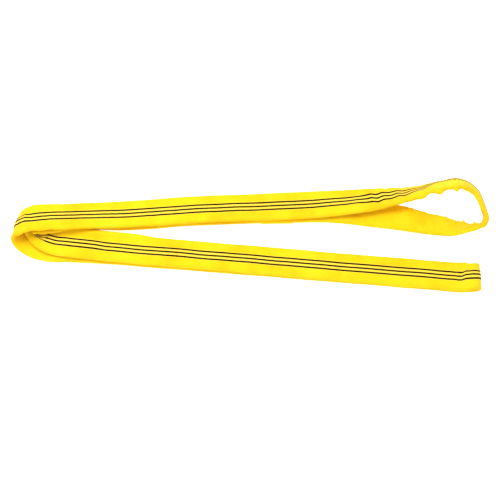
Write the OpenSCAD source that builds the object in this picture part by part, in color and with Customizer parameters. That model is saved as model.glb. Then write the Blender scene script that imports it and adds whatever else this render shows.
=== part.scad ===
// Round sling: an endless hank of polyester yarn inside a woven sleeve.
// The sling lies on a flat surface, folded in half. +X runs along the folded
// sling towards the open eye, +Y from the near strand to the far one, +Z up.

/* [Sleeve] */
// Flat width of one ply
ply_w = 63; // [60:0.5:63.5]
// Thickness of one relaxed ply
ply_t = 11; // [10:0.25:11]
// Thickness of the woven sleeve's wall
wall = 1.2; // [0.8:0.1:1.4]
// Gap between the two layers where the sleeve's ends overlap
overlap_gap = 0.4; // [0.3:0.05:0.5]

/* [Core] */
// Width of one yarn bundle
yarn_w = 6; // [5:0.1:6.2]
// Height of one yarn bundle
yarn_h = 5; // [4:0.25:5.5]
// Distance between neighbouring bundles
yarn_pitch = 6.6; // [6.4:0.05:6.7]
// Thickness of the tape round the core's join
tape_t = 0.4; // [0.3:0.05:0.5]

/* [Stripes] */
// Width of a woven stripe
stripe_w = 3.5; // [2:0.25:4]
// Distance between stripes
stripe_pitch = 8; // [6:0.5:9]
// Depth of a stripe's yarns in the sleeve's wall
stripe_t = 0.3; // [0.2:0.05:0.4]

/* [Label] */
// Length of the label along the sling
label_l = 100; // [80:5:110]
// Width of the hinging flap
flap_w = 43; // [38:1:46]
// Width of the sewn hem
hem_w = 8; // [6:0.5:8.5]
// Thickness of the label
label_t = 0.7; // [0.5:0.05:0.75]

/* [Stitches] */
// Length of a stitch in the closing seam
stitch_l = 3.2; // [2.5:0.1:3.8]
// Distance between stitches
stitch_pitch = 4.4; // [4.2:0.1:4.6]
// Thickness of the sewing thread
thread_t = 0.4; // [0.3:0.05:0.5]

/* [Hidden] */

// The loop's route. Each point holds the centre of the ply (x, y, z), the
// lean of its width from flat (degrees, near edge up), the yaw of its width
// (degrees, near edge towards -X) and its width as a share of ply_w.
route = [
    // far strand, lower ply, from the closing seam to the eye
    [26, 57, 7.7, 0, 0, 1], [86, 58, 7.7, 0, 0, 1], [167, 58, 6.2, 0, 0, 1],
    [241, 50, 6.4, 2, 0, 1], [273, 45, 7.5, 4, 5, 1], [315, 37, 9.8, 9, 10, 1],
    [356, 26, 14, 18, 15, 1], [397, 16, 18.4, 26, 20, 1], [428, 10, 22.4, 36, 25, 1],
    [452, 9, 27.2, 49, 30, 1],
    // round the open eye, standing on edge
    [472, 11, 29.8, 57, 33, 1], [485, 16.5, 31.5, 61, 34, 1],
    [490.5, 29, 31.2, 61, 34, 1], [488.5, 47, 30.4, 61, 34, 1], [483, 69, 30, 60, 32, 1],
    [474, 88, 29.6, 57, 30, 1], [459, 101.5, 29, 52, 30, 1],
    [438, 108.5, 28.2, 46, 30, 1], [411, 104.5, 28.2, 44, 30, 1],
    [383, 98, 28.4, 46, 25, 1],
    // far strand, upper ply
    [357, 91, 27.6, 45, 20, 1], [336, 86, 25, 41, 15, 1], [307, 82, 22, 34, 10, 1],
    [273, 77, 20.5, 23, 5, 1], [217, 70, 21.4, 13, 0, 1], [168, 66, 19.6, 5, 0, 1],
    [102, 61, 21.1, 0, 0, 1], [-4, 56, 21.2, 0, 0, 1], [-110, 52, 20.3, 0, 0, 1],
    [-216, 45, 18, 0, 0, 1], [-269, 41, 19.4, 2, 0, 1], [-320, 36, 26, 6, 0, 1],
    [-354, 32.5, 33, 9, 0, 1], [-383, 28.5, 38.6, 10, 0, 1],
    // the fold, outer ply
    [-427, 24.5, 46.2, 8, 0, 1], [-456, 19.5, 49.3, 4, 4, 1], [-479, 13.5, 41, 9, 7, 1],
    [-490, 5.5, 28, 18, 9, 1], [-481, -6, 14.4, 12, 28, 1], [-466, -16, 8.2, 4, 40, 1],
    [-449, -23.5, 6.4, 0, 33, 1], [-425, -29, 5.9, 0, 15, 1], [-384, -30.5, 5.7, 0, 3, 1],
    // near strand, lower ply
    [-316, -34, 5.6, 0, 0, 1], [-164, -46, 5.5, 0, 0, 1], [17, -61, 5.5, 0, 0, 1],
    [193, -76, 5.5, 0, 0, 1], [368, -91, 5.65, 0, 0, 1], [436, -97, 6, 0, 0, 1],
    [457, -98, 6.4, 0, 0, 1], [467, -97.5, 9.8, 0, 0, 1],
    // the closed bight at the near strand's end
    [469.5, -97, 15, 0, 0, 1], [466, -97.5, 21, 0, 0, 1], [456, -98, 22.4, 0, 0, 1],
    [442, -98, 19.6, 0, 0, 1], [426, -97, 17.8, 0, 0, 1],
    // near strand, upper ply
    [368, -92, 17.1, 0, 0, 1], [193, -77, 17, 0, 0, 1], [17, -61, 17, 0, 0, 1],
    [-164, -45, 17, 0, 0, 1], [-316, -31, 17, 0, 0, 1], [-382, -23, 17.4, 0, 4, 1],
    // the fold, inner ply, bunched inside the outer one
    [-416, -18, 17.9, 0, 16, 0.97], [-438, -10, 18.8, 0, 28, 0.88],
    [-454, 1, 20.4, 0, 24.5, 0.76], [-461, 8, 25.7, 0, 10.5, 0.68],
    [-455, 12, 31.9, 2, 1, 0.76], [-440, 17, 32.9, 4, -3, 0.89],
    [-419, 23, 31.8, 7, 0, 1],
    // far strand, lower ply, back to the closing seam
    [-383, 31.5, 26.3, 10, 0, 1], [-354, 35.5, 20.6, 9, 0, 1],
    [-320, 38.5, 13.6, 6, 0, 1], [-269, 40, 7.2, 2, 0, 1], [-216, 44, 5.6, 0, 0, 1],
    [-164, 48, 7.6, 0, 0, 1], [-44, 54, 7.7, 0, 0, 1]
];
route_n = len(route);
// A stretch longer than this, or one that turns by more than this many
// degrees, gets a ring at its middle too
long_gap = 30;
sharp_turn = 25;
// Where the closing seam starts and ends, as points of the route
seam_end = 1;

core_count = 8;
// The woven-in stripes stand out of the sleeve's face by a hair only
stripe_proud = 0.001;
layer_step = wall + overlap_gap;
thread_gap = 0.05;

// The label hangs under the far strand's lower ply, along the sling's far edge
label_x = -104;
label_y = 51;
label_turn = 2.9;
hem_edge = 26;
hem_z = 1.5;
hem_t = label_t - 0.1;
hinge_z = 0.95;
hinge_gap = 0.4;
hinge_side = hem_edge - hem_w - hinge_gap;
// Slope that lets the flap's free edge rest on the surface
flap_slope = asin((hinge_z - label_t / 2 - 0.05) / flap_w);
hem_thread_t = 0.18;

// ---- The route's curve: a smooth closed curve through its points ----
function at(i) = route[(i + route_n) % route_n];
function spot(p) = [p[0], p[1], p[2]];
function gap(i) = norm(spot(at(i + 1)) - spot(at(i)));
function slope(i) =
    let (before = gap(i - 1), after = gap(i))
    ((at(i) - at(i - 1)) / before * after + (at(i + 1) - at(i)) / after * before)
    / (before + after);
function curve(i, u) =
    (2 * u^3 - 3 * u^2 + 1) * at(i) + (u^3 - 2 * u^2 + u) * gap(i) * slope(i)
    + (3 * u^2 - 2 * u^3) * at(i + 1) + (u^3 - u^2) * gap(i) * slope(i + 1);
function heading(i, u) =
    spot((6 * u^2 - 6 * u) * (at(i) - at(i + 1))
    + ((3 * u^2 - 4 * u + 1) * slope(i) + (3 * u^2 - 2 * u) * slope(i + 1)) * gap(i));
function unit(v) = v / norm(v);

// A ring is [centre, direction, width direction, outward normal, width share]
function ring(i, u) =
    let (
        p = curve(i, u),
        t = unit(heading(i, u)),
        aim = [-sin(p[4]) * cos(p[3]), -cos(p[4]) * cos(p[3]), sin(p[3])],
        w = unit(aim - (aim * t) * t)
    )
    [spot(p), t, w, cross(t, w), p[5]];
// Halfway along the straight chord between two rings
function halfway(a, b) =
    [(a[0] + b[0]) / 2, unit(a[1] + b[1]), unit(a[2] + b[2]), unit(a[3] + b[3]), (a[4] + b[4]) / 2];
function turn(i) =
    let (a = ring(i, 0), b = ring(i + 1, 0))
    max(acos(a[3] * b[3]), acos(a[2] * b[2]));
function rings_in(i) = gap(i) > long_gap || turn(i) > sharp_turn ? [0, 0.5] : [0];
rings = [for (i = [0 : route_n - 1]) for (u = rings_in(i)) ring(i, u)];
seam_rings = [for (i = [0 : seam_end - 1]) for (u = rings_in(i)) ring(i, u)];
// Once round the loop, then on over the closing seam
long_way = concat(rings, seam_rings, [ring(seam_end, 0)]);
ring_n = len(rings);
seam_n = len(seam_rings);

// ---- Cross-sections: lists of [along the width, along the normal] ----
function ply_outline(width, thick) =
    let (r = thick / 2, flat = width / 2 - r)
    concat(
        [for (a = [-90 : 45 : 90]) [flat + r * cos(a), r * sin(a)]],
        [[flat / 3, r], [-flat / 3, r]],
        [for (a = [90 : 45 : 270]) [-flat + r * cos(a), r * sin(a)]],
        [[-flat / 3, -r], [flat / 3, -r]]
    );
function yarn_outline(side) =
    [for (a = [0 : 60 : 300]) [side + yarn_w / 2 * cos(a), yarn_h / 2 * sin(a)]];
function bar_outline(side, width, low, high) =
    [[side - width / 2, low], [side + width / 2, low],
     [side + width / 2, high], [side - width / 2, high]];
// A cross-section placed on a ring, narrowed by the ring's width share
function placed(r, outline) =
    [for (q = outline) r[0] + r[2] * q[0] * r[4] + r[3] * q[1]];

// ---- Swept solids ----
function wrap_faces(m, k, start, closed, flip) =
    [for (j = [0 : m - (closed ? 1 : 2)]) for (s = [0 : k - 1])
        let (
            a = start + j * k + s,
            b = start + j * k + (s + 1) % k,
            c = start + ((j + 1) % m) * k + (s + 1) % k,
            d = start + ((j + 1) % m) * k + s
        )
        each flip ? [[a, c, b], [a, d, c]] : [[a, b, c], [a, c, d]]];
function flat_points(list) = [for (a = list) each a];

// A closed loop with one outline all the way round
module loop_sweep(outline) {
    points = flat_points([for (r = rings) placed(r, outline)]);
    polyhedron(points, wrap_faces(ring_n, len(outline), 0, true, true));
}

// A strip with two ends: outlines[j] is its cross-section on way[j]
module strip_sweep(way, outlines) {
    m = len(way);
    k = len(outlines[0]);
    points = flat_points([for (j = [0 : m - 1]) placed(way[j], outlines[j])]);
    ends = [[for (s = [0 : k - 1]) s], [for (s = [k - 1 : -1 : 0]) (m - 1) * k + s]];
    polyhedron(points, concat(wrap_faces(m, k, 0, false, true), ends));
}

// A tube with two open ends and a wall between outlines outer[j] and inner[j]
module tube_sweep(way, outer, inner) {
    m = len(way);
    k = len(outer[0]);
    last = (m - 1) * k;
    points = flat_points(concat(
        [for (j = [0 : m - 1]) placed(way[j], outer[j])],
        [for (j = [0 : m - 1]) placed(way[j], inner[j])]
    ));
    rims = [for (s = [0 : k - 1])
        let (n = (s + 1) % k, hole = m * k)
        each [[s, n, hole + n], [s, hole + n, hole + s],
              [last + s, last + hole + n, last + n],
              [last + s, last + hole + s, last + hole + n]]];
    polyhedron(points, concat(
        wrap_faces(m, k, 0, false, true),
        wrap_faces(m, k, m * k, false, false),
        rims
    ));
}

// How far the sleeve has grown to pass over its own start: 0 or one layer
function layer_at(j) = j >= ring_n ? layer_step : 0;

// ---- Sleeve ----
module cover() {
    outer = [for (j = [0 : len(long_way) - 1])
        ply_outline(ply_w + 2 * layer_at(j), ply_t + 2 * layer_at(j))];
    inner = [for (j = [0 : len(long_way) - 1])
        ply_outline(ply_w + 2 * layer_at(j) - 2 * wall, ply_t + 2 * layer_at(j) - 2 * wall)];
    color([1, 0.87, 0.08]) tube_sweep(long_way, outer, inner);
}

// A stripe of dark warp yarns woven into the sleeve's outer face
module stripe(side) {
    count = len(long_way) - seam_n;
    way = [for (j = [0 : count - 1]) long_way[j + seam_n]];
    high = ply_t / 2 + stripe_proud;
    color([0.12, 0.12, 0.11])
        strip_sweep(way, [for (j = [0 : count - 1])
            bar_outline(side, stripe_w, high - stripe_t + layer_at(j + seam_n),
                        high + layer_at(j + seam_n))]);
}

// ---- Core ----
// One bundle of turns; the bundles lie side by side, number 1 at the far edge
module core_yarn(number) {
    side = (number - (core_count + 1) / 2) * yarn_pitch;
    color([0.93, 0.91, 0.85]) loop_sweep(yarn_outline(side));
}

// Tape wound round all the bundles where their ends are joined
module core_tape() {
    in_w = core_count * yarn_pitch + 1.2;
    in_h = yarn_h + 0.9;
    way = [ring(1, 0.5), ring(2, 0)];
    color([0.8, 0.82, 0.85]) tube_sweep(
        way,
        [for (r = way) ply_outline(in_w + 2 * tape_t, in_h + 2 * tape_t)],
        [for (r = way) ply_outline(in_w, in_h)]
    );
}

// ---- Closing seam: rows of stitches across both faces of the overlap ----
module closing_thread() {
    row_n = 12;
    lift = ply_t / 2 + layer_step + thread_gap + thread_t / 2;
    color([0.95, 0.8, 0.1])
    for (u = [0, 0.5]) for (face = [-1, 1]) {
        r = halfway(ring(0, u), ring(0, u + 0.5));
        for (s = [0 : row_n - 1]) {
            side = (s - (row_n - 1) / 2) * stitch_pitch;
            middle = r[0] + r[2] * side + r[3] * face * lift;
            multmatrix([
                [r[1][0], r[2][0], r[3][0], middle[0]],
                [r[1][1], r[2][1], r[3][1], middle[1]],
                [r[1][2], r[2][2], r[3][2], middle[2]],
                [0, 0, 0, 1]
            ]) cube([thread_t * 1.5, stitch_l, thread_t], center = true);
        }
    }
}

// ---- Label: a sewn hem and a flap that swings on the hem's inner edge ----
module on_label() {
    translate([label_x, label_y, 0]) rotate([0, 0, label_turn]) children();
}

module label_hem() {
    color([0.1, 0.3, 0.65]) on_label()
        translate([-label_l / 2, hem_edge - hem_w, hem_z]) cube([label_l, hem_w, hem_t]);
}

module label_thread() {
    count = floor(label_l / stitch_pitch) - 1;
    color([0.9, 0.9, 0.9]) on_label()
    for (s = [0 : count - 1])
        translate([(s - (count - 1) / 2) * stitch_pitch, hem_edge - hem_w / 2, hem_z - hem_thread_t / 2])
            cube([stitch_l, 0.6, hem_thread_t], center = true);
}

module label_flap() {
    color([0.1, 0.3, 0.65]) on_label()
        translate([0, hinge_side, hinge_z]) rotate([flap_slope, 0, 0])
            translate([-label_l / 2, -flap_w, -label_t / 2]) cube([label_l, flap_w, label_t]);
}

cover();
stripe(-stripe_pitch);  // stripe_far
stripe(0);  // stripe_middle
stripe(stripe_pitch);  // stripe_near
core_yarn(1);  // core_yarn_1
core_yarn(2);  // core_yarn_2
core_yarn(3);  // core_yarn_3
core_yarn(4);  // core_yarn_4
core_yarn(5);  // core_yarn_5
core_yarn(6);  // core_yarn_6
core_yarn(7);  // core_yarn_7
core_yarn(8);  // core_yarn_8
core_tape();
closing_thread();
label_hem();
label_thread();
label_flap();
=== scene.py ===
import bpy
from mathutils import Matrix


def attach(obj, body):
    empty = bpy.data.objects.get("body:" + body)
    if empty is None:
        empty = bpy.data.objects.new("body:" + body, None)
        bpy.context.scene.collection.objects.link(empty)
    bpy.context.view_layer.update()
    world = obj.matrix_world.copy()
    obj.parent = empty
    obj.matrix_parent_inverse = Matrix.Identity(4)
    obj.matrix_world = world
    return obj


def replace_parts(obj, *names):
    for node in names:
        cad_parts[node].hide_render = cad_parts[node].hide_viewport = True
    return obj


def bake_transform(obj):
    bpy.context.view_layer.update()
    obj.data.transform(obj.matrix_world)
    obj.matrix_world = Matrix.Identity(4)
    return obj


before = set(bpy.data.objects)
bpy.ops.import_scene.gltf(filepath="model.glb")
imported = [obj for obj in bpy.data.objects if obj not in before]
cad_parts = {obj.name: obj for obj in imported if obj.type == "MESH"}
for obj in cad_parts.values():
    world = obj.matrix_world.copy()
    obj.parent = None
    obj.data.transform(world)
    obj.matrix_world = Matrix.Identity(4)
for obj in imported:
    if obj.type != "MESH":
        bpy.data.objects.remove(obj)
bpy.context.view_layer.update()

import copy
import math

import bpy
import numpy as np

MM = 0.001

# ---------------------------------------------------------------- camera and lights
AIM = (-0.004, -0.032, 0.0)
ELEVATION = math.radians(70)
DISTANCE = 2.05


def make_camera():
    lens = bpy.data.cameras.new("camera")
    lens.lens, lens.sensor_width = 70, 36
    camera = bpy.data.objects.new("camera", lens)
    camera.location = (AIM[0], AIM[1] - DISTANCE * math.cos(ELEVATION), DISTANCE * math.sin(ELEVATION))
    camera.rotation_euler = (math.pi / 2 - ELEVATION, 0, 0)
    bpy.context.scene.collection.objects.link(camera)
    bpy.context.scene.camera = camera


def area_light(name, place, size, power):
    """A round lamp aimed at the origin."""
    lamp = bpy.data.lights.new(name, "AREA")
    lamp.shape, lamp.size, lamp.energy = "DISK", size, power
    obj = bpy.data.objects.new(name, lamp)
    obj.location = place
    x, y, z = place
    obj.rotation_euler = (math.atan2(math.hypot(x, y), z), 0, math.atan2(x, -y))
    bpy.context.scene.collection.objects.link(obj)


def make_world(strength):
    world = bpy.data.worlds.new("studio")
    world.use_nodes = True
    back = world.node_tree.nodes["Background"]
    back.inputs["Color"].default_value = (1, 1, 1, 1)
    back.inputs["Strength"].default_value = strength
    bpy.context.scene.world = world


# ---------------------------------------------------------------- node materials
class Nodes:
    """A material's node tree, with short calls to add and link nodes."""

    def __init__(self, name):
        self.material = bpy.data.materials.new(name)
        self.material.use_nodes = True
        self.tree = self.material.node_tree
        self.shader = self.tree.nodes["Principled BSDF"]

    def add(self, kind, **values):
        node = self.tree.nodes.new("ShaderNode" + kind)
        for key, value in values.items():
            setattr(node, key, value)
        return node

    def link(self, out, into):
        self.tree.links.new(out, into)

    def math(self, operation, a, b=None, c=None):
        node = self.add("Math", operation=operation)
        for slot, value in enumerate((a, b, c)):
            if value is None:
                continue
            if hasattr(value, "is_linked"):
                self.link(value, node.inputs[slot])
            else:
                node.inputs[slot].default_value = value
        return node.outputs[0]

    def noise(self, vector, scale, detail=3.0, rough=0.5):
        node = self.add("TexNoise")
        node.inputs["Scale"].default_value = scale
        node.inputs["Detail"].default_value = detail
        node.inputs["Roughness"].default_value = rough
        self.link(vector, node.inputs["Vector"])
        return node.outputs["Fac"]

    def ramp(self, value, stops):
        node = self.add("ValToRGB")
        elements = node.color_ramp.elements
        while len(elements) < len(stops):
            elements.new(0.5)
        for element, (place, colour) in zip(elements, stops):
            element.position, element.color = place, (*colour, 1)
        self.link(value, node.inputs[0])
        return node.outputs["Color"]

    def mix(self, factor, a, b, kind="MIX"):
        node = self.add("Mix", data_type="RGBA", blend_type=kind)
        for slot, value in ((0, factor), (6, a), (7, b)):
            if hasattr(value, "is_linked"):
                self.link(value, node.inputs[slot])
            else:
                node.inputs[slot].default_value = value if slot == 0 else (*value, 1)
        return node.outputs[2]

    def bump(self, height, strength, distance, before=None):
        node = self.add("Bump")
        node.inputs["Strength"].default_value = strength
        node.inputs["Distance"].default_value = distance
        self.link(height, node.inputs["Height"])
        if before is not None:
            self.link(before, node.inputs["Normal"])
        return node.outputs["Normal"]


def woven(name, dark, mid, light, warp, weft, sheen, rough, depth, mottle=1.0, band=None, shine=0.15):
    """Cloth with warp yarns along its UV map's U and weft yarns across; the map is in metres.

    warp and weft are the yarns' pitches, depth is the relief between them, mottle is how
    uneven the tone is, and band is (place across, half width, colour) of a painted highlight on the
    face's crown.
    """
    m = Nodes(name)
    uv = m.add("UVMap", uv_map="cloth")
    split = m.add("SeparateXYZ")
    m.link(uv.outputs[0], split.inputs[0])
    along, across = split.outputs[0], split.outputs[1]
    # the pitch wanders a little from yarn to yarn
    wander = m.noise(uv.outputs[0], 55, 2)
    across = m.math("ADD", across, m.math("MULTIPLY", m.math("SUBTRACT", wander, 0.5), 0.35 * warp))
    rib = m.math("ABSOLUTE", m.math("SINE", m.math("MULTIPLY", across, math.pi / warp)))
    turn = m.math("FLOOR", m.math("DIVIDE", across, warp))
    picks = m.math("MULTIPLY", along, math.pi / weft)
    pick = m.math("SINE", m.math("ADD", picks, m.math("MULTIPLY", turn, math.pi / 2)))
    over = m.math("MULTIPLY_ADD", pick, 0.5, 0.5)
    height = m.math("MULTIPLY", rib, m.math("MULTIPLY_ADD", over, 0.6, 0.4))
    streaks = m.add("Mapping")
    streaks.inputs["Scale"].default_value = (40, 900, 1)
    m.link(uv.outputs[0], streaks.inputs["Vector"])
    fibre = m.noise(streaks.outputs[0], 1, 2)
    patches = m.noise(uv.outputs[0], 14, 4, 0.6)
    # painted shade: the weave's valleys are coloured darker than its crests, on top of the fibre streaks
    # and uneven patches
    tone = m.math("ADD", m.math("MULTIPLY", height, 0.35), m.math("MULTIPLY", fibre, 0.25))
    uneven = m.math("MULTIPLY", m.math("SUBTRACT", patches, 0.5), mottle)
    tone = m.math("ADD", tone, m.math("ADD", uneven, 0.2))
    colour = m.ramp(tone, ((0.12, dark), (0.45, mid), (0.85, light)))
    # painted highlight: a paler band across the face, standing in for the light on the crown of the
    # rounded face
    if band:
        place_v, half, highlight_colour = band
        off = m.math("ABSOLUTE", m.math("SUBTRACT", split.outputs[1], place_v))
        share = m.add("MapRange", interpolation_type="SMOOTHSTEP")
        limits = {"From Min": half, "From Max": half * 0.75, "To Min": 0.0, "To Max": 0.55}
        for slot, value in limits.items():
            share.inputs[slot].default_value = value
        m.link(off, share.inputs["Value"])
        colour = m.mix(share.outputs[0], colour, highlight_colour)
    m.link(colour, m.shader.inputs["Base Color"])
    m.link(m.math("MULTIPLY_ADD", patches, 0.16, rough - 0.08), m.shader.inputs["Roughness"])
    m.shader.inputs["Specular IOR Level"].default_value = shine
    m.shader.inputs["Sheen Weight"].default_value = sheen
    m.shader.inputs["Sheen Roughness"].default_value = 0.45
    m.shader.inputs["Sheen Tint"].default_value = (*light, 1)
    soft = m.bump(m.noise(uv.outputs[0], 160, 3), 0.35, 0.0004)
    m.link(m.bump(height, 0.75, depth, soft), m.shader.inputs["Normal"])
    return m.material


def filament(name, dark, light, across_scale, rough, sheen):
    """Flat bundles of fine parallel filaments along the UV map's U."""
    m = Nodes(name)
    uv = m.add("UVMap", uv_map="cloth")
    stretch = m.add("Mapping")
    stretch.inputs["Scale"].default_value = (25, across_scale, 1)
    m.link(uv.outputs[0], stretch.inputs["Vector"])
    fibre = m.noise(stretch.outputs[0], 1, 4, 0.65)
    clumps = m.noise(uv.outputs[0], 90, 2)
    tone = m.math("ADD", m.math("MULTIPLY", fibre, 0.7), m.math("MULTIPLY", clumps, 0.3))
    m.link(m.ramp(tone, ((0.3, dark), (0.62, light))), m.shader.inputs["Base Color"])
    m.link(m.math("MULTIPLY_ADD", fibre, 0.2, rough - 0.1), m.shader.inputs["Roughness"])
    m.shader.inputs["Sheen Weight"].default_value = sheen
    m.link(m.bump(tone, 0.7, 0.0004), m.shader.inputs["Normal"])
    return m.material


def make_floor(half, drop):
    """A plain white floor, a hair below the sling so that the two share no plane."""
    corners = [(-half, -half, 0), (half, -half, 0), (half, half, 0), (-half, half, 0)]
    mesh = bpy.data.meshes.new("floor")
    mesh.from_pydata(corners, [], [(0, 1, 2, 3)])
    floor = bpy.data.objects.new("floor", mesh)
    bpy.context.scene.collection.objects.link(floor)
    look = Nodes("floor")
    look.shader.inputs["Base Color"].default_value = (0.9, 0.9, 0.9, 1)
    look.shader.inputs["Roughness"].default_value = 0.9
    look.shader.inputs["Emission Color"].default_value = (1, 1, 1, 1)
    look.shader.inputs["Emission Strength"].default_value = 0.75
    mesh.materials.append(look.material)
    floor.location.z = -drop


# ---------------------------------------------------------------- the loop's route
# Each point holds the centre of the ply (x, y, z, in metres), the lean of its
# width from flat (degrees, near edge up), the yaw of its width (degrees, near
# edge towards -X) and its width as a share of the ply's width.
ROUTE = np.array([
    # far strand, lower ply, from the closing seam to the eye
    (0.026, 0.057, 0.0077, 0, 0, 1), (0.086, 0.058, 0.0077, 0, 0, 1),
    (0.167, 0.058, 0.0062, 0, 0, 1), (0.241, 0.05, 0.0064, 2, 0, 1),
    (0.273, 0.045, 0.0075, 4, 5, 1), (0.315, 0.037, 0.0098, 9, 10, 1),
    (0.356, 0.026, 0.014, 18, 15, 1), (0.397, 0.016, 0.0184, 26, 20, 1),
    (0.428, 0.01, 0.0224, 36, 25, 1), (0.452, 0.009, 0.0272, 49, 30, 1),
    # round the open eye, standing on edge
    (0.472, 0.011, 0.0298, 57, 33, 1), (0.485, 0.0165, 0.0315, 61, 34, 1),
    (0.4905, 0.029, 0.0312, 61, 34, 1), (0.4885, 0.047, 0.0304, 61, 34, 1),
    (0.483, 0.069, 0.03, 60, 32, 1), (0.474, 0.088, 0.0296, 57, 30, 1),
    (0.459, 0.1015, 0.029, 52, 30, 1), (0.438, 0.1085, 0.0282, 46, 30, 1),
    (0.411, 0.1045, 0.0282, 44, 30, 1), (0.383, 0.098, 0.0284, 46, 25, 1),
    # far strand, upper ply
    (0.357, 0.091, 0.0276, 45, 20, 1), (0.336, 0.086, 0.025, 41, 15, 1),
    (0.307, 0.082, 0.022, 34, 10, 1), (0.273, 0.077, 0.0205, 23, 5, 1),
    (0.217, 0.07, 0.0214, 13, 0, 1), (0.168, 0.066, 0.0196, 5, 0, 1),
    (0.102, 0.061, 0.0211, 0, 0, 1), (-0.004, 0.056, 0.0212, 0, 0, 1),
    (-0.11, 0.052, 0.0203, 0, 0, 1), (-0.216, 0.045, 0.018, 0, 0, 1),
    (-0.269, 0.041, 0.0194, 2, 0, 1), (-0.32, 0.036, 0.026, 6, 0, 1),
    (-0.354, 0.0325, 0.033, 9, 0, 1), (-0.383, 0.0285, 0.0386, 10, 0, 1),
    # the fold, outer ply
    (-0.427, 0.0245, 0.0462, 8, 0, 1), (-0.456, 0.0195, 0.0493, 4, 4, 1),
    (-0.479, 0.0135, 0.041, 9, 7, 1), (-0.49, 0.0055, 0.028, 18, 9, 1),
    (-0.481, -0.006, 0.0144, 12, 28, 1), (-0.466, -0.016, 0.0082, 4, 40, 1),
    (-0.449, -0.0235, 0.0064, 0, 33, 1), (-0.425, -0.029, 0.0059, 0, 15, 1),
    (-0.384, -0.0305, 0.0057, 0, 3, 1),
    # near strand, lower ply
    (-0.316, -0.034, 0.0056, 0, 0, 1), (-0.164, -0.046, 0.0055, 0, 0, 1),
    (0.017, -0.061, 0.0055, 0, 0, 1), (0.193, -0.076, 0.0055, 0, 0, 1),
    (0.368, -0.091, 0.00565, 0, 0, 1), (0.436, -0.097, 0.006, 0, 0, 1),
    (0.457, -0.098, 0.0064, 0, 0, 1), (0.467, -0.0975, 0.0098, 0, 0, 1),
    # the closed bight at the near strand's end
    (0.4695, -0.097, 0.015, 0, 0, 1), (0.466, -0.0975, 0.021, 0, 0, 1),
    (0.456, -0.098, 0.0224, 0, 0, 1), (0.442, -0.098, 0.0196, 0, 0, 1),
    (0.426, -0.097, 0.0178, 0, 0, 1),
    # near strand, upper ply
    (0.368, -0.092, 0.0171, 0, 0, 1), (0.193, -0.077, 0.017, 0, 0, 1),
    (0.017, -0.061, 0.017, 0, 0, 1), (-0.164, -0.045, 0.017, 0, 0, 1),
    (-0.316, -0.031, 0.017, 0, 0, 1), (-0.382, -0.023, 0.0174, 0, 4, 1),
    # the fold, inner ply, bunched inside the outer one
    (-0.416, -0.018, 0.0179, 0, 16, 0.97), (-0.438, -0.01, 0.0188, 0, 28, 0.88),
    (-0.454, 0.001, 0.0204, 0, 24.5, 0.76), (-0.461, 0.008, 0.0257, 0, 10.5, 0.68),
    (-0.455, 0.012, 0.0319, 2, 1, 0.76), (-0.44, 0.017, 0.0329, 4, -3, 0.89),
    (-0.419, 0.023, 0.0318, 7, 0, 1),
    # far strand, lower ply, back to the closing seam
    (-0.383, 0.0315, 0.0263, 10, 0, 1), (-0.354, 0.0355, 0.0206, 9, 0, 1),
    (-0.32, 0.0385, 0.0136, 6, 0, 1), (-0.269, 0.04, 0.0072, 2, 0, 1),
    (-0.216, 0.044, 0.0056, 0, 0, 1), (-0.164, 0.048, 0.0076, 0, 0, 1),
    (-0.044, 0.054, 0.0077, 0, 0, 1),
], float)
STATIONS = len(ROUTE)

PLY_W, PLY_T, WALL = 63 * MM, 11 * MM, 1.2 * MM
LAYER_STEP = 1.6 * MM          # the sleeve's end passes this far outside its start
STRIPE_W, STRIPE_PITCH = 3.5 * MM, 8 * MM
FINE, COARSE = 1.1 * MM, 4 * MM  # distance between rings in the bends and elsewhere
BENDS = ((8, 20), (33, 43), (47, 56), (61, 70))  # runs of stations with tight bends

GAP = np.linalg.norm(np.roll(ROUTE[:, :3], -1, 0) - ROUTE[:, :3], axis=1)
BEFORE = np.roll(GAP, 1)
SLOPE = (
    (ROUTE - np.roll(ROUTE, 1, 0)) / BEFORE[:, None] * GAP[:, None]
    + (np.roll(ROUTE, -1, 0) - ROUTE) / GAP[:, None] * BEFORE[:, None]
) / (GAP + BEFORE)[:, None]


def unit(v):
    return v / np.linalg.norm(v, axis=-1, keepdims=True)


class Way:
    """Frames along the route: centre, direction t, width direction w, outward normal n, width share."""

    def __init__(self, station, u):
        i = np.asarray(station) % STATIONS
        j = (i + 1) % STATIONS
        u = np.asarray(u, float)[:, None]
        g = GAP[i][:, None]
        here = (
            (2 * u**3 - 3 * u**2 + 1) * ROUTE[i] + (u**3 - 2 * u**2 + u) * g * SLOPE[i]
            + (3 * u**2 - 2 * u**3) * ROUTE[j] + (u**3 - u**2) * g * SLOPE[j]
        )
        head = (
            (6 * u**2 - 6 * u) * (ROUTE[i] - ROUTE[j])
            + ((3 * u**2 - 4 * u + 1) * SLOPE[i] + (3 * u**2 - 2 * u) * SLOPE[j]) * g
        )[:, :3]
        lean, yaw = np.radians(here[:, 3]), np.radians(here[:, 4])
        aim = np.stack([-np.sin(yaw) * np.cos(lean), -np.cos(yaw) * np.cos(lean), np.sin(lean)], 1)
        self.c, self.t = here[:, :3], unit(head)
        self.w = unit(aim - (aim * self.t).sum(1, keepdims=True) * self.t)
        self.n = np.cross(self.t, self.w)
        self.share = here[:, 5]
        step = np.linalg.norm(np.diff(self.c, axis=0), axis=1)
        self.s = np.concatenate([[0], np.cumsum(step)])
        self.m = len(self.c)

    def curvature(self):
        """How sharply the way turns towards w and towards n, per metre."""
        turn = np.gradient(self.t, self.s, axis=0)
        return (turn * self.w).sum(1), (turn * self.n).sum(1)

    def only(self, rings):
        """The same way with only some of its rings."""
        part = copy.copy(self)
        part.c, part.t, part.w, part.n = self.c[rings], self.t[rings], self.w[rings], self.n[rings]
        part.share, part.s, part.m = self.share[rings], self.s[rings], len(rings)
        return part


def in_bend(i):
    return any(a <= i < b for a, b in BENDS)


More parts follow.
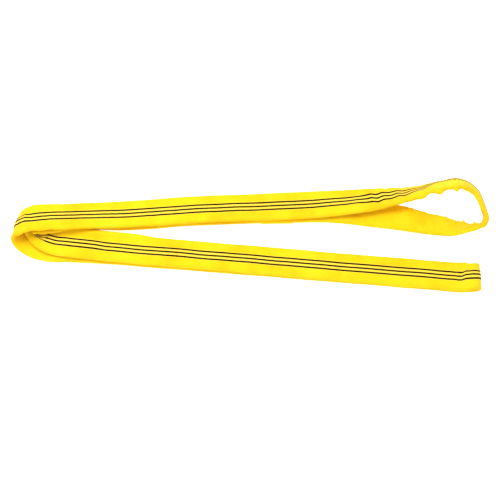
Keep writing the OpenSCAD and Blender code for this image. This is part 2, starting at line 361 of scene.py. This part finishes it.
def stops(first, last, coarse=COARSE, fine=FINE):
    """Stations and shares for rings from station first up to station last, last not included."""
    found = []
    for i in range(first, last):
        k = i % STATIONS
        count = max(1, round(GAP[k] / (fine if in_bend(k) else coarse)))
        found += [(i, q / count) for q in range(count)]
    return found


def make_way(places):
    return Way([p[0] for p in places], [p[1] for p in places])


# ---------------------------------------------------------------- smooth noise, the same at each run
def wander(x, length, seed):
    """A smooth random wave along x, about -1 to 1, with swings about one length long."""
    rng = np.random.default_rng(seed)
    total = np.zeros_like(np.asarray(x, float))
    for _ in range(6):
        wave = 2 * np.pi * x / (length * rng.uniform(0.6, 1.8))
        total = total + np.cos(wave + rng.uniform(0, 2 * np.pi))
    return total / 3


def ripple(x, y, length_x, length_y, seed, count=10):
    """Smooth random waves over x and y, about -1 to 1."""
    rng = np.random.default_rng(seed)
    total = 0
    for _ in range(count):
        a = rng.uniform(0.5, 1.5) / length_x
        b = rng.uniform(-1.2, 1.2) / length_y
        total = total + np.cos(2 * np.pi * (a * x + b * y) + rng.uniform(0, 2 * np.pi))
    return total / math.sqrt(2 * count)


def hill(x, centre, width):
    """1 at the centre, falling smoothly to 0 over a width."""
    return np.exp(-(((x - centre) / width) ** 2))


def ease(x, start, end):
    """0 before the start, 1 after the end, smooth between."""
    q = np.clip((x - start) / (end - start), 0, 1)
    return q * q * (3 - 2 * q)


# ---------------------------------------------------------------- mesh helpers
def new_object(name, points, faces, uv):
    mesh = bpy.data.meshes.new(name)
    mesh.from_pydata(np.asarray(points).tolist(), [], faces)
    layer = mesh.uv_layers.new(name="cloth")
    layer.data.foreach_set("uv", np.asarray(uv, np.float32).ravel())
    mesh.polygons.foreach_set("use_smooth", [True] * len(mesh.polygons))
    mesh.update()
    obj = bpy.data.objects.new(name, mesh)
    bpy.context.scene.collection.objects.link(obj)
    return obj


def wrap(m, k, start=0, closed=False, inward=False):
    """Quads between m rings of k points; faces look away from the middle unless inward."""
    j, q = np.meshgrid(np.arange(m if closed else m - 1), np.arange(k), indexing="ij")
    j, q = j.ravel(), q.ravel()
    a = start + j * k + q
    b = start + j * k + (q + 1) % k
    c = start + ((j + 1) % m) * k + (q + 1) % k
    d = start + ((j + 1) % m) * k + q
    quads = np.stack([a, d, c, b] if inward else [a, b, c, d], 1)
    return quads, j, q


def wrap_uv(s, v, total, j, q, inward=False, closed_s=None):
    """Loop UVs for wrap(): s along, v around, in metres."""
    k = len(v)
    v1 = np.append(v, total)
    s1 = np.append(s, closed_s if closed_s is not None else s[-1])
    a = np.stack([s1[j], v1[q]], 1)
    b = np.stack([s1[j], v1[q + 1]], 1)
    c = np.stack([s1[j + 1], v1[q + 1]], 1)
    d = np.stack([s1[j + 1], v1[q]], 1)
    return np.stack([a, d, c, b] if inward else [a, b, c, d], 1)


def dress(obj, material, body="sling"):
    obj.data.materials.clear()
    obj.data.materials.append(material)
    if body:
        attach(obj, body)
    return obj


# ---------------------------------------------------------------- the ply's cross-section
class Outline:
    """The relaxed sleeve's outline: points on (side, height) with their outward directions."""

    def __init__(self, width, thick, sides_out, sides_in, arc):
        r = thick / 2
        flat = width / 2 - r
        rows = []
        # near edge (+side), outer face, far edge, inner face: anticlockwise about t
        for a in np.linspace(-90, 90, arc + 1)[:-1]:
            rows.append((flat + r * math.cos(math.radians(a)), r * math.sin(math.radians(a)), a, "near"))
        for x in sides_out[::-1]:
            rows.append((x, r, 90, "out"))
        for a in np.linspace(90, 270, arc + 1)[1:-1]:
            rows.append((-flat + r * math.cos(math.radians(a)), r * math.sin(math.radians(a)), a, "far"))
        for x in sides_in:
            rows.append((x, -r, 270, "in"))
        self.side = np.array([q[0] for q in rows])
        self.height = np.array([q[1] for q in rows])
        self.angle = np.array([q[2] for q in rows], float)
        self.part = np.array([q[3] for q in rows])
        self.nx, self.ny = np.cos(np.radians(self.angle)), np.sin(np.radians(self.angle))
        sides = np.diff(np.append(self.side, self.side[0]))
        heights = np.diff(np.append(self.height, self.height[0]))
        gaps = np.hypot(sides, heights)
        self.v = np.concatenate([[0], np.cumsum(gaps)[:-1]])
        self.total = gaps.sum()
        self.k = len(rows)


FLAT = PLY_W / 2 - PLY_T / 2
STRIPE_EDGES = [STRIPE_PITCH * i + e * STRIPE_W / 2 for i in (-1, 0, 1) for e in (-1, 1)]
SIDES_OUT = np.array(sorted([e * x * MM for e in (-1, 1) for x in (26, 22.5, 19, 15.5, 12.3, 4)]
                            + STRIPE_EDGES))
SIDES_IN = np.linspace(-FLAT, FLAT, 16)
SHAPE = Outline(PLY_W, PLY_T, SIDES_OUT, SIDES_IN[:-1], 10)

# Where the middle stripe lies, measured round the outline
STRIPES_AT = float(SHAPE.v[SHAPE.part == "out"].mean())

# The whole sleeve: once round from the seam's start, then on over the seam
SEAM_END = 1
PLACES = stops(0, STATIONS) + stops(STATIONS, STATIONS + SEAM_END) + [(STATIONS + SEAM_END, 0)]
WAY = make_way(PLACES)
ROUND = WAY.s[len(stops(0, STATIONS))]     # length of the loop
SEAM = WAY.s[-1] - ROUND                   # length of the overlap
S = WAY.s[:, None]
V = SHAPE.v[None, :]


def seam_calm(s):
    """0 at the closing seam, 1 away from it."""
    start = ease(s, SEAM + 0.002, SEAM + 0.03)
    end = 1 - ease(s, ROUND - 0.03, ROUND - 0.002)
    return start * end


def strain(way, shape):
    """How much bending shortens the sleeve at each point, as a share of its length."""
    kw, kn = way.curvature()
    return kw[:, None] * shape.side[None, :] * way.share[:, None] + kn[:, None] * shape.height[None, :]


def displacement():
    """How far each point of the sleeve stands out of the plain outline, in metres."""
    side, height = SHAPE.side[None, :], SHAPE.height[None, :]
    calm = seam_calm(S)
    # the faces are a little pillowed and their thickness wanders
    d = -0.35 * MM * (side / FLAT) ** 2 * np.abs(SHAPE.ny)[None, :]
    d = d - 0.25 * MM * (1 + wander(S + 0.3 * side, 0.11, 3)) * np.abs(SHAPE.ny)[None, :] * calm
    d = d - 0.3 * MM * (1 + wander(S, 0.16, 5)) * np.abs(SHAPE.nx)[None, :] * calm
    # soft creases of slack cloth, a few millimetres apart along the sleeve
    slack = ripple(S, V, 0.021, 0.06, 11)
    d = d + (0.16 * MM * slack - 0.16 * MM) * calm
    # puckers where bending shortens the cloth
    e = np.clip(strain(WAY, SHAPE) - 0.012, 0, 0.55)
    pitch = 6.2 * MM
    phase = np.pi * S / pitch + 0.9 * wander(S, 0.03, 7) + 0.5 * wander(S, 0.013, 8)
    phase = phase + 0.35 * ripple(S, V, 0.05, 0.03, 9)
    high = pitch / np.pi * np.sqrt(e) * 1.15
    d = d + high * (np.abs(np.sin(phase)) * 1.5 - 1.15) * calm
    return np.clip(d, -1.6 * MM, 1.2 * MM)


def around(width, angle=None, v=None):
    """1 at one place round the outline, falling to 0 over a width."""
    if v is None:
        v = SHAPE.v[np.argmin(np.abs(SHAPE.angle - angle))]
    off = np.abs(SHAPE.v[None, :] - v)
    return hill(np.minimum(off, SHAPE.total - off), 0, width)


def span(start, end, soft):
    """1 between two stations of the route, 0 outside, with soft ends."""
    a, b = distance_at(start), distance_at(end)
    return ease(S, a - soft, a + soft) * (1 - ease(S, b - soft, b + soft))


def distance_at(station):
    """The distance along the sleeve of a station of the route."""
    return float(np.interp(station, [i + u for i, u in PLACES], WAY.s))


def eye_details():
    """The eye's own shapes: slack lumps, small puckers, a notch and a groove along its upper edge."""
    d = np.zeros((WAY.m, SHAPE.k))
    # three slack lumps on the upper edge's inner side, with notches between them
    for station, size, long in ((20.1, 4.5, 8), (18.75, 6.0, 7.5), (17.35, 6.5, 8.5)):
        off = np.abs((S - distance_at(station)) / (long * MM))
        d = d + size * MM * np.exp(-(off ** 2.6)) * around(6.5 * MM, -50)
    for station, size, long in ((19.45, 2.6, 3), (18.05, 3.2, 3), (16.5, 4.0, 4)):
        d = d - size * MM * hill(S, distance_at(station), long * MM) * around(8 * MM, -45)
    # a notch, bumps and hollows on the lower leg's edge, and the crease that runs on from the notch
    for station, size, long in ((9.4, -10.0, 3.2), (10.1, 5.5, 3.5), (8.7, 4.4, 5), (7.9, -2.6, 4),
                                (7.2, 2.2, 6), (6.3, -1.5, 5)):
        d = d + size * MM * hill(S, distance_at(station), long * MM) * around(9 * MM, 215)
    crease = distance_at(9.4) + 0.35 * SHAPE.side[None, :]
    d = d - 1.8 * MM * hill(S, crease, 2.4 * MM) * (SHAPE.ny < -0.5)
    # the row of small puckers on the inner corner, and more on the outer one
    tooth = np.abs(np.sin(np.pi * S / (6 * MM) + 0.5 * wander(S, 0.02, 21)))
    d = d + 2.6 * MM * span(11.6, 15.9, 6 * MM) * (tooth - 0.65) * around(5 * MM, -60)
    tooth = np.abs(np.sin(np.pi * S / (5 * MM) + 0.6 * wander(S, 0.018, 23)))
    d = d + 1.6 * MM * span(10.5, 19.5, 8 * MM) * (tooth - 0.7) * around(9 * MM, 90)
    # the groove along the upper edge
    groove = SHAPE.v[np.argmin(np.abs(SHAPE.angle))] - 0.5 * MM + 0.6 * MM * wander(S, 0.03, 22)
    off = np.abs(SHAPE.v[None, :] - groove)
    d = d - 1.2 * MM * span(11.6, 19.0, 10 * MM) * hill(np.minimum(off, SHAPE.total - off), 0, 1.4 * MM)
    # a long fold that runs from the corner along the lower leg, and the slack cloth there
    fold = hill(SHAPE.side[None, :], 6 * MM + 0.25 * (S - distance_at(9.6)), 3 * MM)
    d = d - 1.8 * MM * fold * span(8.0, 10.4, 12 * MM) * (SHAPE.ny < -0.5)
    soft = ripple(S, V, 0.032, 0.045, 71) + 0.6 * ripple(S, V, 0.016, 0.03, 72)
    return d + 1.7 * MM * (soft - 0.5) * span(5.0, 10.5, 25 * MM) * (SHAPE.ny < 0.3)[None, :]


def fold_details():
    """The crumpled cloth in the fold: the tunnel over the bunched ply and the wrinkles round it."""
    side = SHAPE.side[None, :]
    face = (SHAPE.ny > 0.5)[None, :]
    d = np.zeros((WAY.m, SHAPE.k))
    # the outer ply bulges outwards, and its near edge arches over the bunched ply
    d = d + 5.5 * MM * hill(side, -3 * MM, 17 * MM) * span(36.1, 37.7, 12 * MM) * face
    d = d - 6.0 * MM * hill(S, distance_at(35.3), 10 * MM) * around(8 * MM, 0)
    # the bunched inner ply ruffles across its width
    ruffle = np.cos(2 * np.pi * side / (8.5 * MM) + 1.2 * wander(S, 0.02, 51))
    d = d + 1.5 * MM * (ruffle - 0.3) * span(62.6, 67.4, 7 * MM) * face
    # hollows that run on from the fold along the outer ply's near half
    hollow = -9 * MM + 0.35 * (S - distance_at(36.0))
    d = d - 1.3 * MM * hill(side, hollow, 3.5 * MM) * span(35.0, 38.4, 8 * MM) * face
    hook = 15 * MM - 0.5 * (S - distance_at(38.2))
    d = d - 1.4 * MM * hill(side, hook, 3.0 * MM) * span(37.4, 40.6, 5 * MM) * face
    # the near strand's upper ply leans against the far strand beside the fold
    d = d + 5.5 * MM * span(59.4, 61.8, 30 * MM) * around(9 * MM, 180)
    # cross creases where the outer ply turns down
    creases = ((35.4, 0.25, 1.0), (36.4, -0.3, 1.2), (37.3, 0.4, 1.1), (38.6, -0.5, 0.9))
    for station, slant, size in creases:
        line = distance_at(station) + slant * side
        d = d - size * MM * hill(S, line, 2.2 * MM) * face
    return d


def tip_details():
    """The near strand's end: drawn-in edges, a dent and a long wrinkle beside the near edge."""
    side = SHAPE.side[None, :]
    face = (SHAPE.ny > 0.5)[None, :]
    tip = span(48.4, 53.6, 9 * MM)
    d = -2.6 * MM * tip * np.abs(SHAPE.nx)[None, :]
    d = d + 1.8 * MM * hill(S, distance_at(54.1), 4 * MM) * around(8 * MM, 180)
    d = d - 1.6 * MM * hill(S, distance_at(53.2), 4 * MM) * around(8 * MM, 180)
    wrinkle = 21 * MM + 1.2 * MM * wander(S, 0.03, 61)
    d = d - 3.2 * MM * hill(side, wrinkle, 2.4 * MM) * span(51.5, 55.3, 8 * MM) * face
    d = d + 1.4 * MM * hill(side, wrinkle - 5 * MM, 2.6 * MM) * span(52.0, 54.6, 6 * MM) * face
    dent = distance_at(52.2) - 0.55 * (side - 14 * MM)
    d = d - 3.2 * MM * hill(S, dent, 3 * MM) * hill(side, 21 * MM, 6 * MM) * face
    soft = ripple(S, V, 0.018, 0.03, 62)
    return d + 0.9 * MM * (soft - 0.6) * span(50.5, 55.2, 14 * MM) * face


def place(way, shape, d, grow=0.0, shift=0.0):
    """Points of the outline on every ring, moved out by d and grow, and along the width by shift."""
    out = d + grow
    a = (shape.side[None, :] * way.share[:, None] + shape.nx[None, :] * out + shift)[..., None]
    b = (shape.height[None, :] + shape.ny[None, :] * out)[..., None]
    return way.c[:, None] + way.w[:, None] * a + way.n[:, None] * b


# Waves that the slack cloth and its stripes make beside the eye
WAVE = np.sin(2 * np.pi * S / (30 * MM) + 1.1 * wander(S, 0.08, 31)) * span(19.3, 23.6, 25 * MM)


def stripe_shift():
    """How far the outer face's yarns have slipped towards the near edge."""
    face = np.where(SHAPE.part == "out", np.cos(np.pi * SHAPE.side / (2.2 * FLAT)) ** 2, 0)[None, :]
    slip = 1.9 * MM * WAVE + 0.4 * MM * wander(S, 0.09, 32) * seam_calm(S)
    # the fold
    slip = slip - 5.0 * MM * span(35.3, 37.4, 9 * MM) - 1.5 * MM * span(60.0, 61.6, 14 * MM)
    # the near strand's end
    slip = slip - 3.8 * MM * span(49.0, 54.2, 6 * MM)
    slip = slip + 0.8 * MM * hill(S, distance_at(54.9), 8 * MM)
    # the three stripes bunch at the lower edge round the eye, and in the fold's inner ply
    inner = np.clip(SHAPE.side, -10 * MM, 10 * MM)
    level = np.where(SHAPE.part == "out", np.clip((FLAT - np.abs(SHAPE.side)) / (16 * MM), 0, 1), 0)
    eye = (-19 * MM - 0.42 * inner) * level * span(11.2, 19.2, 28 * MM)
    tuck = (5 * MM - 0.5 * inner) * level * span(62.9, 65.6, 9 * MM)
    spread = 0.35 * inner * level * span(20.6, 23.6, 22 * MM)
    return slip * face + eye + tuck + spread


DETAIL = displacement() + eye_details() + fold_details() + tip_details()
DETAIL = DETAIL + 0.7 * MM * np.roll(WAVE, 6, axis=0) * np.abs(SHAPE.ny)[None, :]
DEEPEST, HIGHEST = -5 * MM, 7 * MM
DETAIL = np.clip(DETAIL, DEEPEST, HIGHEST)
SHIFT = stripe_shift()
LAYER = LAYER_STEP * ease(S, ROUND - 0.012, ROUND - 0.001)


def make_cover(material):
    """The sleeve: its displaced outer surface, an inner one with fewer rings, and a rim at each end."""
    outer = place(WAY, SHAPE, DETAIL, LAYER, SHIFT)
    outer[..., 2] = np.maximum(outer[..., 2], 0)      # the cloth lies on the floor
    inside = np.unique(np.append(np.arange(0, WAY.m, 3), WAY.m - 1))
    part = WAY.only(inside)
    inner = place(part, SHAPE, np.minimum(DETAIL[inside], 0.2 * MM) * 0.4, LAYER[inside] - WALL)
    k = SHAPE.k
    points = np.concatenate([outer.reshape(-1, 3), inner.reshape(-1, 3)])
    q1, j1, c1 = wrap(WAY.m, k)
    q2, j2, c2 = wrap(part.m, k, WAY.m * k, inward=True)
    uv1 = wrap_uv(WAY.s, SHAPE.v, SHAPE.total, j1, c1)
    uv2 = wrap_uv(part.s, SHAPE.v, SHAPE.total, j2, c2, inward=True)
    s = np.arange(k)
    n = (s + 1) % k
    hole, last, last_hole = WAY.m * k, (WAY.m - 1) * k, WAY.m * k + (part.m - 1) * k
    rim1 = np.stack([hole + s, hole + n, n, s], 1)
    rim2 = np.stack([last + s, last + n, last_hole + n, last_hole + s], 1)
    v1 = np.append(SHAPE.v, SHAPE.total)
    rim_uv = []
    for base in (0.0, WAY.s[-1]):
        lo, hi = (base - WALL, base) if base == 0 else (base, base + WALL)
        rim_uv.append(np.stack([
            np.stack([np.full(k, lo), v1[:-1]], 1), np.stack([np.full(k, lo), v1[1:]], 1),
            np.stack([np.full(k, hi), v1[1:]], 1), np.stack([np.full(k, hi), v1[:-1]], 1)], 1))
    faces = np.concatenate([q1, q2, rim1, rim2])
    uv = np.concatenate([uv1, uv2, *rim_uv])
    obj = new_object("sleeve", points, faces.tolist(), uv)
    dress(obj, material)
    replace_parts(obj, "cover")
    return obj, outer


def make_stripe(name, node, centre, outer, material):
    """A band of dark warp yarns that follows the sleeve's displaced outer face."""
    first = len(stops(0, SEAM_END))
    side = np.where(SHAPE.part == "out", SHAPE.side, np.inf)
    lo = int(np.argmin(np.abs(side - (centre - STRIPE_W / 2))))
    hi = int(np.argmin(np.abs(side - (centre + STRIPE_W / 2))))
    a, b = outer[first:, lo], outer[first:, hi]
    across = unit(b - a)
    along = unit(np.gradient((a + b) / 2, axis=0))
    up = unit(np.cross(along, across))
    up = up * np.sign((up * WAY.n[first:]).sum(1, keepdims=True))
    profile = ((0.0, -0.3), (1.0, -0.3), (1.0, 0.05), (0.78, 0.14), (0.22, 0.14), (0.0, 0.05))
    rings = np.stack([a + (b - a) * p + up * h * MM for p, h in profile], 1)
    m, k = rings.shape[:2]
    quads, j, q = wrap(m, k)
    if np.dot(np.cross(across[0], up[0]), WAY.t[first]) < 0:
        quads = quads[:, ::-1]
    v = np.array([0, 2, 2.4, 2.9, 4.1, 4.6]) * MM + centre
    uv = wrap_uv(WAY.s[first:], v, v[0] + 5 * MM, j, q)
    faces = quads.tolist()
    ends = [list(range(k))[::-1], [(m - 1) * k + i for i in range(k)]]
    loops = np.concatenate([uv.reshape(-1, 2), np.zeros((2 * k, 2))])
    obj = new_object(name, rings.reshape(-1, 3), faces + ends, loops)
    dress(obj, material)
    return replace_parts(obj, node)


# ---------------------------------------------------------------- core
YARN_W, YARN_H, YARN_PITCH, YARNS = 6 * MM, 5 * MM, 6.6 * MM, 8


def make_yarn(number, way, material):
    """One bundle of the core's turns: a slightly twisted hank with a lobed outline."""
    side = (number - (YARNS + 1) / 2) * YARN_PITCH
    k, twists, point_gap = 12, 24, 1.45 * MM
    angle = np.linspace(0, 2 * np.pi, k, endpoint=False)[None, :]
    roll = 2 * np.pi * way.s[:, None] / ROUND * twists + number
    lobes = 1 + 0.07 * np.cos(5 * (angle - roll)) + 0.03 * wander(way.s, 0.08, 40 + number)[:, None]
    a = (side + YARN_W / 2 * 0.97 * np.cos(angle) * lobes) * way.share[:, None]
    b = YARN_H / 2 * 0.95 * np.sin(angle) * lobes + 0 * way.s[:, None]
    points = way.c[:, None] + way.w[:, None] * a[..., None] + way.n[:, None] * b[..., None]
    quads, j, q = wrap(way.m, k, closed=True)
    uv = wrap_uv(way.s, np.arange(k) * point_gap, k * point_gap, j, q, closed_s=ROUND)
    obj = new_object(f"core_bundle_{number}", points.reshape(-1, 3), quads.tolist(), uv)
    dress(obj, material)
    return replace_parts(obj, f"core_yarn_{number}")


def make_tape(material):
    """Tape wound round the bundles where the yarn's ends are joined."""
    places = [p for p in stops(1, 2, 1.5 * MM) if p[1] >= 0.5] + [(2, 0)]
    way = make_way(places)
    sides = np.linspace(-23, 23, 12) * MM
    shape = Outline(YARNS * YARN_PITCH + 2.0 * MM, YARN_H + 1.7 * MM, sides, sides[:-1], 8)
    # turns of the tape overlap, and the bundles press through
    turn = (way.s[:, None] / (12 * MM) + shape.v[None, :] / shape.total) % 1.0
    d = 0.22 * MM * (turn > 0.18) * np.ones((way.m, shape.k)) - 0.15 * MM
    d = d + 0.12 * MM * np.cos(2 * np.pi * shape.side / YARN_PITCH)[None, :] * np.abs(shape.ny)[None, :]
    outer, inner = place(way, shape, d), place(way, shape, d, -0.35 * MM)
    k = shape.k
    q1, j1, c1 = wrap(way.m, k)
    q2, j2, c2 = wrap(way.m, k, way.m * k, inward=True)
    s = np.arange(k)
    n, hole, last = (s + 1) % k, way.m * k, (way.m - 1) * k
    rim1 = np.stack([hole + s, hole + n, n, s], 1)
    rim2 = np.stack([last + s, last + n, last + hole + n, last + hole + s], 1)
    uv = np.concatenate([wrap_uv(way.s, shape.v, shape.total, j1, c1),
                         wrap_uv(way.s, shape.v, shape.total, j2, c2, inward=True),
                         np.zeros((2 * k, 4, 2))])
    obj = new_object("join_tape", np.concatenate([outer.reshape(-1, 3), inner.reshape(-1, 3)]),
                     np.concatenate([q1, q2, rim1, rim2]).tolist(), uv)
    dress(obj, material)
    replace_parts(obj, "core_tape")
    return obj


# ---------------------------------------------------------------- stitches
def make_stitches(name, stitches, length, radius, material, slot_name, *nodes):
    """Bowed thread capsules: each stitch is (centre, along, up), its ends dipping into the cloth."""
    points, faces, uv = [], [], []
    k = 6
    along_steps = np.linspace(-1, 1, 7)
    for number, (centre, along, up) in enumerate(stitches):
        sideways = np.cross(along, up)
        start = len(points)
        for q in along_steps:
            thick = radius * math.sqrt(max(1 - abs(q) ** 4, 0.05))
            middle = centre + along * (q * length / 2) - up * (radius * 1.1 * q**4)
            for i in range(k):
                a = 2 * math.pi * i / k
                points.append(middle + sideways * thick * math.cos(a) + up * thick * math.sin(a))
        for j in range(len(along_steps) - 1):
            for i in range(k):
                a, b = start + j * k + i, start + j * k + (i + 1) % k
                faces.append([b, a, a + k, b + k])
                uv += [(number * 0.004 + j * 0.0005, i * 0.0003)] * 4
        faces.append([start + i for i in range(k)])
        faces.append([start + (len(along_steps) - 1) * k + i for i in range(k)][::-1])
        uv += [(0, 0)] * (2 * k)
    obj = new_object(name, points, faces, uv)
    dress(obj, material)
    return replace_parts(obj, *nodes)


STITCH_L, STITCH_PITCH = 3.2 * MM, 4.4 * MM
THREAD_R, LABEL_THREAD_R = 0.24 * MM, 0.12 * MM


def seam_stitches():
    """Rows of stitches across both faces of the overlap."""
    found = []
    count = 12
    first = WAY.m - 1 - len(stops(0, SEAM_END))
    for share in (0.25, 0.75):
        j = int(round(first + share * (WAY.m - 1 - first)))
        for face in (-1, 1):
            for q in range(count):
                side = (q - (count - 1) / 2) * STITCH_PITCH
                lift = (PLY_T / 2 + LAYER_STEP - 0.35 * MM * (side / FLAT) ** 2) * face
                middle = WAY.c[j] + WAY.w[j] * side + WAY.n[j] * (lift + 0.1 * MM * face)
                found.append((middle, WAY.w[j], WAY.n[j] * face))
    return found


# ---------------------------------------------------------------- label
LABEL_L, FLAP_W, HEM_W = 100 * MM, 43 * MM, 8 * MM
LABEL_AT, LABEL_TURN = np.array((-0.104, 0.051, 0.0)), math.radians(2.9)
HEM_EDGE, HEM_Z, HINGE_SIDE, HINGE_Z = 26 * MM, 1.8 * MM, 17.6 * MM, 0.95 * MM
LABEL_X = np.array((math.cos(LABEL_TURN), math.sin(LABEL_TURN), 0.0))
LABEL_Y = np.array((-math.sin(LABEL_TURN), math.cos(LABEL_TURN), 0.0))


def on_label(x, y, z):
    return LABEL_AT + LABEL_X * x + LABEL_Y * y + np.array((0, 0, 1.0)) * z


def make_label(material):
    """One strip of label cloth: its hem is sewn down and its flap folds at the hem's inner edge."""
    rows = [26, 25.7, 24, 22, 20, 18.9, 18.3, 18.0, 17.8, 17.6, 17.4, 17.2, 16.9, 16, 14, 11]
    rows += [7, 3, -1, -5, -9, -13, -17, -20, -22, -23.5, -24.5, -25.1, -25.4]
    rows = np.array(rows) * MM
    cols = np.linspace(-1, 1, 41)
    top, low = [], []
    for y in rows:
        down = ease(-y, -18.3 * MM, -17.4 * MM)
        mid = HEM_Z * (1 - down) + HINGE_Z * down
        if y < HINGE_SIDE:
            mid -= (HINGE_SIDE - y) / FLAP_W * 0.55 * MM
        corner = 4 * MM
        inset = 0.0
        for edge in (y - rows[-1], rows[0] - y):
            if edge < corner:
                inset = max(inset, corner - math.sqrt(max(corner**2 - (corner - edge) ** 2, 0)))
        half = LABEL_L / 2 - (inset if y < 0 else inset * 0.3)
        thick = (0.3 if y > HINGE_SIDE else 0.29) * MM
        thick *= 0.55 + 0.45 * min(1.0, (y - rows[-1]) / (1.2 * MM))
        for c in cols:
            x = half * c
            rim = 0.55 + 0.45 * min(1.0, (LABEL_L / 2 - abs(x)) / (1.0 * MM))
            sway = 0.05 * MM * math.sin(x / 0.011 + y / 0.02) * float(y < 15 * MM)
            top.append(on_label(x, y, mid + thick * rim + sway))
            low.append(on_label(x, y, mid - thick * rim + sway))
    r, k = len(rows), len(cols)
    faces, uv = [], []

    def spot(i, j):
        return (cols[j] * LABEL_L / 2, rows[i])

    n = r * k
    for i in range(r - 1):
        for j in range(k - 1):
            a, b, c, d = i * k + j, i * k + j + 1, (i + 1) * k + j + 1, (i + 1) * k + j
            faces += [[a, d, c, b], [n + a, n + b, n + c, n + d]]
            uv += [spot(i, j), spot(i + 1, j), spot(i + 1, j + 1), spot(i, j + 1)]
            uv += [spot(i, j), spot(i, j + 1), spot(i + 1, j + 1), spot(i + 1, j)]
    rim = [(0, j) for j in range(k)] + [(i, k - 1) for i in range(1, r)]
    rim += [(r - 1, j) for j in range(k - 2, -1, -1)] + [(i, 0) for i in range(r - 2, 0, -1)]
    for p, q in zip(rim, rim[1:] + rim[:1]):
        a, b = p[0] * k + p[1], q[0] * k + q[1]
        faces.append([a, b, n + b, n + a])
        uv += [spot(*p), spot(*q), spot(*q), spot(*p)]
    obj = new_object("label", top + low, faces, uv)
    dress(obj, material, body=None)
    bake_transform(obj)
    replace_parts(obj, "label_hem", "label_flap")
    return obj


def hem_stitches():
    """One row of stitches along the middle of the label's hem."""
    count, thread_z = 21, 1.44 * MM
    down = np.array((0, 0, -1.0))
    middle = HEM_EDGE - HEM_W / 2
    return [(on_label((q - count // 2) * STITCH_PITCH, middle, thread_z), LABEL_X, down)
            for q in range(count)]


# ---------------------------------------------------------------- build
make_camera()
make_world(0.86)
area_light("key", (-0.55, 0.4, 1.85), 1.0, 33)
area_light("fill", (0.9, -1.2, 1.6), 1.6, 8)
bpy.context.scene.view_settings.view_transform = "Standard"

make_floor(6.0, 0.2 * MM)

HIGHLIGHT_HALF = 12.5 * MM          # half of the painted highlight: a paler band between and beside the stripes, on the face's crown
yellow = woven("sleeve_weave", (0.77, 0.39, 0.0), (0.89, 0.56, 0.001), (0.94, 0.65, 0.012),
               1.15 * MM, 1.3 * MM, 0.02, 0.75, 0.0005, 1.2,
               (STRIPES_AT, HIGHLIGHT_HALF, (1.0, 0.68, 0.07)))
dark = woven("stripe_weave", (0.004, 0.003, 0.002), (0.012, 0.010, 0.006), (0.03, 0.025, 0.015),
               0.7 * MM, 1.3 * MM, 0.0, 0.9, 0.0003, shine=0.0)
yarn_look = filament("core_filament", (0.62, 0.6, 0.54), (0.88, 0.86, 0.8), 2600, 0.5, 0.2)
tape_look = filament("tape_film", (0.5, 0.52, 0.56), (0.72, 0.74, 0.78), 700, 0.35, 0.0)
thread_look = filament("seam_thread", (0.65, 0.42, 0.01), (0.95, 0.72, 0.05), 4000, 0.5, 0.15)
white_look = filament("label_stitch", (0.7, 0.7, 0.7), (0.9, 0.9, 0.9), 4000, 0.5, 0.15)
label_look = woven("label_cloth", (0.006, 0.035, 0.16), (0.012, 0.075, 0.3), (0.03, 0.13, 0.42),
                   0.35 * MM, 0.4 * MM, 0.15, 0.5, 0.00012)

sleeve, outer_points = make_cover(yellow)
for stripe_name, stripe_node, stripe_side in (
    ("far_stripe", "stripe_far", -STRIPE_PITCH), ("middle_stripe", "stripe_middle", 0.0),
    ("near_stripe", "stripe_near", STRIPE_PITCH),
):
    make_stripe(stripe_name, stripe_node, stripe_side, outer_points, dark)
core_way = make_way(stops(0, STATIONS, 10 * MM, 3 * MM))
for yarn_number in range(1, YARNS + 1):
    make_yarn(yarn_number, core_way, yarn_look)
make_tape(tape_look)
make_stitches("seam_stitches", seam_stitches(), STITCH_L, THREAD_R, thread_look,
              "thread", "closing_thread")
make_label(label_look)
make_stitches("hem_stitches", hem_stitches(), STITCH_L, LABEL_THREAD_R, white_look,
              "label_thread", "label_thread")
